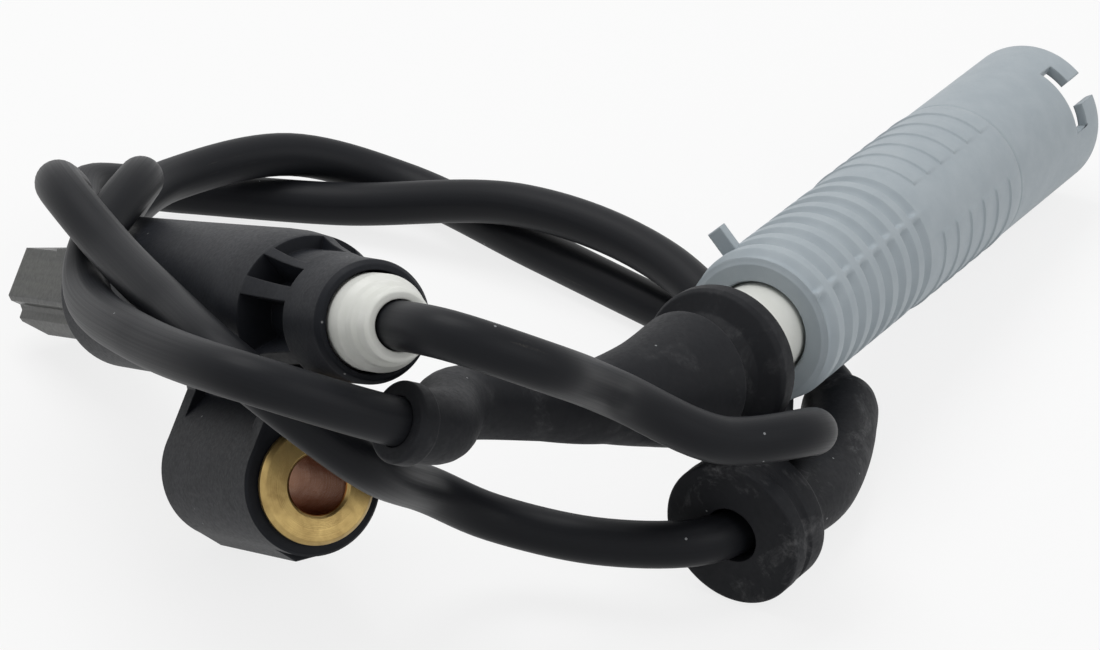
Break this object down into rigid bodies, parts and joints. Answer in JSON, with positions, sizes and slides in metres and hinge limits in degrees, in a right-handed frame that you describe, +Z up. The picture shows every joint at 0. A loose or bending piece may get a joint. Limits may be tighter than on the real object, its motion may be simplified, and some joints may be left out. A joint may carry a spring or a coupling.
{
  "type": "abs wheel speed sensor",
  "caption": "Wheel speed sensor with a side-eared head, a coiled cable with a body grommet, and a booted connector in a twist-lock sleeve",
  "frame": {"origin": "On the resting surface, below the middle of the sensor head's bounding box.", "axes": "+X is the way the head's cable end points, seen from above. +Z is up. The head's axis rises 24.4 degrees towards +X."},
  "size_m": [0.133, 0.1491, 0.0552],
  "materials": {
    "black_plastic": "satin moulded",
    "olive_resin": "semi-gloss moulded",
    "black_rubber": "matt with pale bloom",
    "cable_jacket": "satin extruded",
    "grey_plastic": "fine satin",
    "white_plastic": "satin",
    "seal_rubber": "matt",
    "core_blue": "satin",
    "core_brown": "satin",
    "brass": "turned",
    "tinned": "tinned",
    "magnet": "plated",
    "chip": "moulded"
  },
  "bodies": {
    "root": {"sensor_housing": "black_plastic", "mounting_bush": "brass", "cable_seal": "white_plastic", "tip_carrier": "olive_resin", "sensor_ic": "chip", "bias_magnet": "magnet", "terminal_strip_a": "tinned", "terminal_strip_b": "tinned", "splice_crimp_a": "tinned", "splice_crimp_b": "tinned", "head_core_a": "core_blue", "head_core_b": "core_brown", "sensor_cable": "cable_jacket", "body_grommet": "black_rubber", "connector_boot": "black_rubber", "connector_sleeve": "grey_plastic", "boot_retainer": "white_plastic", "plug_insert": "black_plastic", "interface_seal": "seal_rubber", "contact_pin_a": "tinned", "contact_pin_b": "tinned", "wire_seal_a": "seal_rubber", "wire_seal_b": "seal_rubber", "plug_core_a": "core_blue", "plug_core_b": "core_brown"}
  },
  "joints": []
}
